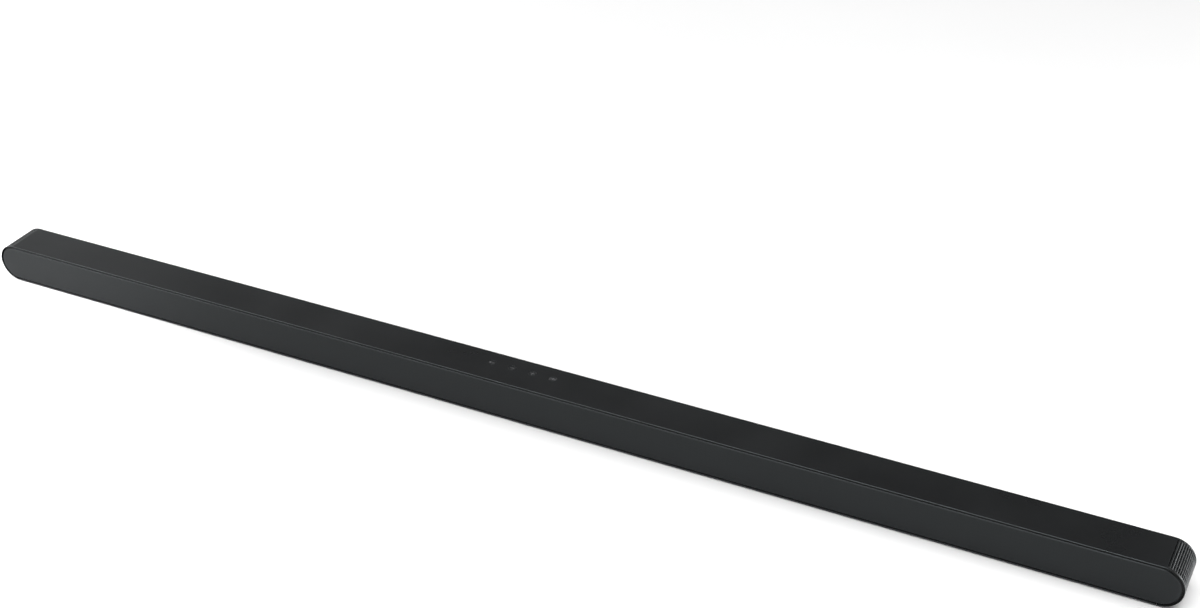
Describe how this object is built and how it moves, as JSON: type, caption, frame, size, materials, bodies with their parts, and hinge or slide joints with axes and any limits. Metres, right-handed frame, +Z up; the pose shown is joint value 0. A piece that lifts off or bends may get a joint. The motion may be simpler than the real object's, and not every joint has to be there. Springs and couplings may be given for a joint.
{
  "type": "soundbar",
  "caption": "Slim soundbar with rounded slotted ends, an inset front grille, press buttons on the deck, a rear socket recess, drivers facing front, up and out, and rubber feet.",
  "frame": {"origin": "middle of the underside of the feet, on the surface that the bar stands on", "axes": "+X along the bar to the right as seen from the front, -Y out of the front grille, +Z up"},
  "size_m": [1.16, 0.04, 0.0392],
  "materials": {
    "casing": "fine moulded satin, near black",
    "grille": "satin black paint on finely perforated sheet",
    "cloth": "matte acoustic weave",
    "chassis": "plain moulded",
    "rubber": "matte",
    "button": "satin",
    "circuit_board": "solder mask",
    "aluminium": "satin",
    "basket": "satin",
    "magnet": "zinc plated",
    "cone": "pressed pulp",
    "screw": "black oxide",
    "brass": "turned",
    "socket_metal": "nickel plated",
    "socket_plastic": "moulded",
    "light_pipe": "clear moulded",
    "wire": "insulation"
  },
  "bodies": {
    "root": {"casing_band": "casing", "bottom_cover": "casing", "rear_cover_left": "casing", "rear_cover_right": "casing", "socket_panel": "casing", "front_grille": "grille", "grille_cloth": "cloth", "speaker_chassis": "chassis", "foot_left": "rubber", "foot_right": "rubber", "front_left_surround": "rubber", "front_centre_surround": "rubber", "front_right_surround": "rubber", "up_left_surround": "rubber", "up_right_surround": "rubber", "side_left_surround": "rubber", "side_right_surround": "rubber", "main_board": "circuit_board", "input_board": "circuit_board", "key_board": "circuit_board", "wireless_module": "circuit_board", "heat_spreader": "aluminium", "front_left_basket": "basket", "front_centre_basket": "basket", "front_right_basket": "basket", "up_left_basket": "basket", "up_right_basket": "basket", "side_left_basket": "basket", "side_right_basket": "basket", "front_left_magnet": "magnet", "front_centre_magnet": "magnet", "front_right_magnet": "magnet", "up_left_magnet": "magnet", "up_right_magnet": "magnet", "side_left_magnet": "magnet", "side_right_magnet": "magnet", "bottom_screw_1": "screw", "bottom_screw_2": "screw", "bottom_screw_3": "screw", "bottom_screw_4": "screw", "wall_insert_left": "brass", "wall_insert_right": "brass", "hdmi_socket": "socket_metal", "dc_jack": "socket_plastic", "optical_socket": "socket_plastic", "status_light_pipe": "light_pipe", "speaker_harness": "wire"},
    "button_multi_cap": {"button_multi": "button"},
    "button_volume_down_cap": {"button_volume_down": "button"},
    "button_volume_up_cap": {"button_volume_up": "button"},
    "button_mic_cap": {"button_mic": "button"},
    "front_left_moving": {"front_left_cone": "cone"},
    "front_centre_moving": {"front_centre_cone": "cone"},
    "front_right_moving": {"front_right_cone": "cone"},
    "up_left_moving": {"up_left_cone": "cone"},
    "up_right_moving": {"up_right_cone": "cone"},
    "side_left_moving": {"side_left_cone": "cone"},
    "side_right_moving": {"side_right_cone": "cone"},
    "shutter": {"optical_shutter": "socket_plastic"}
  },
  "joints": [
    {"name": "button_multi_press", "type": "slide", "parent": "root", "child": "button_multi_cap", "axis": [0, 0, -1], "range_m": [0, 0.0004], "stiffness_N_per_m": 1000},
    {"name": "button_volume_down_press", "type": "slide", "parent": "root", "child": "button_volume_down_cap", "axis": [0, 0, -1], "range_m": [0, 0.0004], "stiffness_N_per_m": 1000},
    {"name": "button_volume_up_press", "type": "slide", "parent": "root", "child": "button_volume_up_cap", "axis": [0, 0, -1], "range_m": [0, 0.0004], "stiffness_N_per_m": 1000},
    {"name": "button_mic_press", "type": "slide", "parent": "root", "child": "button_mic_cap", "axis": [0, 0, -1], "range_m": [0, 0.0004], "stiffness_N_per_m": 1000},
    {"name": "front_left_stroke", "type": "slide", "parent": "root", "child": "front_left_moving", "axis": [0, -1, 0], "range_m": [-0.0012, 0.0012], "stiffness_N_per_m": 700, "deforming": ["front_left_surround"]},
    {"name": "front_centre_stroke", "type": "slide", "parent": "root", "child": "front_centre_moving", "axis": [0, -1, 0], "range_m": [-0.0012, 0.0012], "stiffness_N_per_m": 700, "deforming": ["front_centre_surround"]},
    {"name": "front_right_stroke", "type": "slide", "parent": "root", "child": "front_right_moving", "axis": [0, -1, 0], "range_m": [-0.0012, 0.0012], "stiffness_N_per_m": 700, "deforming": ["front_right_surround"]},
    {"name": "up_left_stroke", "type": "slide", "parent": "root", "child": "up_left_moving", "axis": [0, 0, 1], "range_m": [-0.0012, 0.0012], "stiffness_N_per_m": 700, "deforming": ["up_left_surround"]},
    {"name": "up_right_stroke", "type": "slide", "parent": "root", "child": "up_right_moving", "axis": [0, 0, 1], "range_m": [-0.0012, 0.0012], "stiffness_N_per_m": 700, "deforming": ["up_right_surround"]},
    {"name": "side_left_stroke", "type": "slide", "parent": "root", "child": "side_left_moving", "axis": [-1, 0, 0], "range_m": [-0.0012, 0.0012], "stiffness_N_per_m": 700, "deforming": ["side_left_surround"]},
    {"name": "side_right_stroke", "type": "slide", "parent": "root", "child": "side_right_moving", "axis": [1, 0, 0], "range_m": [-0.0012, 0.0012], "stiffness_N_per_m": 700, "deforming": ["side_right_surround"]},
    {"name": "optical_shutter_swing", "type": "hinge", "parent": "root", "child": "shutter", "pos_m": [0.251, 0.0079, 0.0264], "axis": [0, -1, 0], "range_deg": [0, 80], "stiffness_Nm_per_rad": 0.001}
  ]
}
